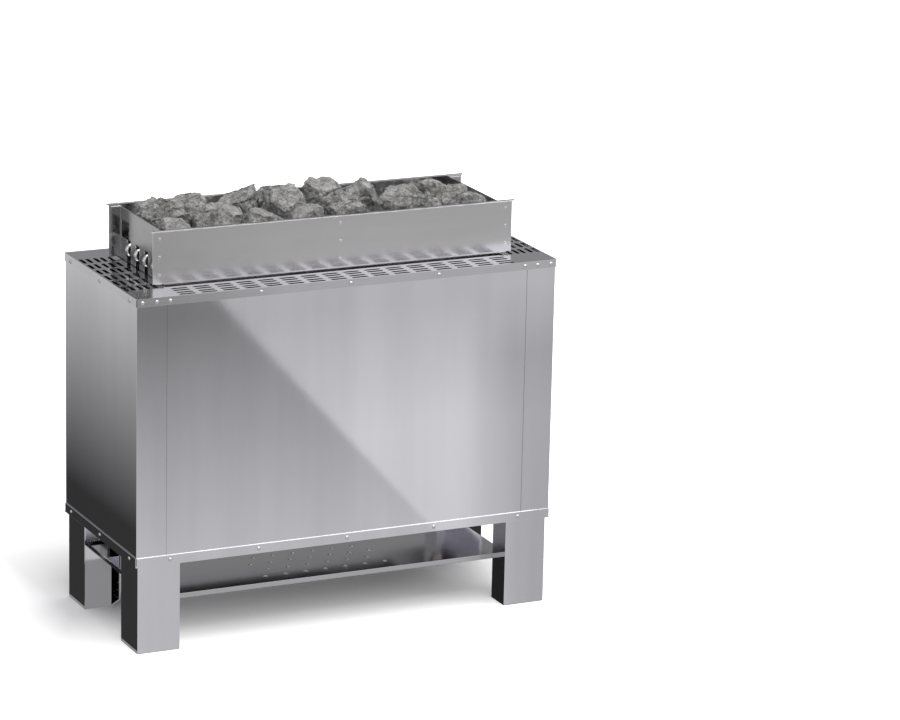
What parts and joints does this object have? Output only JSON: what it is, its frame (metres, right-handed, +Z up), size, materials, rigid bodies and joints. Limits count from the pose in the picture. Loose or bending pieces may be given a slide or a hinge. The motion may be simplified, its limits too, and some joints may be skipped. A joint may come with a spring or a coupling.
{
  "type": "sauna heater stove",
  "caption": "Floor-standing electric sauna heater: polished sheet casing on folded legs, slotted deck, open riveted tray of loose broken stones over tubular heating elements.",
  "frame": {"origin": "on the floor under the middle of the casing", "axes": "+X along the casing to the right, -Y out of the front panel, +Z up"},
  "size_m": [0.7, 0.306, 0.6772],
  "materials": {
    "polished_steel": "bright polished stainless sheet",
    "tray_steel": "bright stainless sheet",
    "frame_steel": "mill finish sheet",
    "element_alloy": "bright drawn tube",
    "ceramic": "matt glazed",
    "gland_metal": "nickel plated",
    "stone": "rough broken rock"
  },
  "bodies": {
    "heater": {"leg_front_left": "polished_steel", "leg_front_right": "polished_steel", "leg_rear_left": "polished_steel", "leg_rear_right": "polished_steel", "heat_shield_shelf": "polished_steel", "base_frame": "polished_steel", "left_side_panel": "polished_steel", "right_side_panel": "polished_steel", "front_panel": "polished_steel", "rear_panel": "polished_steel", "top_deck": "polished_steel", "corner_post_front_left": "frame_steel", "corner_post_front_right": "frame_steel", "corner_post_rear_left": "frame_steel", "corner_post_rear_right": "frame_steel", "cross_member_left": "frame_steel", "cross_member_right": "frame_steel", "tray_rail_front": "frame_steel", "tray_rail_rear": "frame_steel", "inner_shield_front": "frame_steel", "inner_shield_rear": "frame_steel", "inner_shield_left": "frame_steel", "inner_shield_right": "frame_steel", "tray_front_wall": "tray_steel", "tray_rear_wall": "tray_steel", "tray_left_end": "tray_steel", "tray_right_end": "tray_steel", "tray_divider": "tray_steel", "stone_grate": "frame_steel", "heating_element_1": "element_alloy", "heating_element_2": "element_alloy", "heating_element_3": "element_alloy", "heating_element_4": "element_alloy", "terminal_box": "frame_steel", "terminal_block": "ceramic", "terminal_box_cover": "frame_steel", "cable_gland": "gland_metal"},
    "stones": {"stone_01": "stone", "stone_02": "stone", "stone_03": "stone", "stone_04": "stone", "stone_05": "stone", "stone_06": "stone", "stone_07": "stone", "stone_08": "stone", "stone_09": "stone", "stone_10": "stone", "stone_11": "stone", "stone_12": "stone", "stone_13": "stone", "stone_14": "stone", "stone_15": "stone", "stone_16": "stone", "stone_17": "stone", "stone_18": "stone", "stone_19": "stone", "stone_20": "stone", "stone_21": "stone", "stone_22": "stone"}
  },
  "joints": [
    {"name": "stones_lift", "type": "slide", "parent": "heater", "child": "stones", "axis": [0, 0, 1], "range_m": [0, 0.12]}
  ]
}
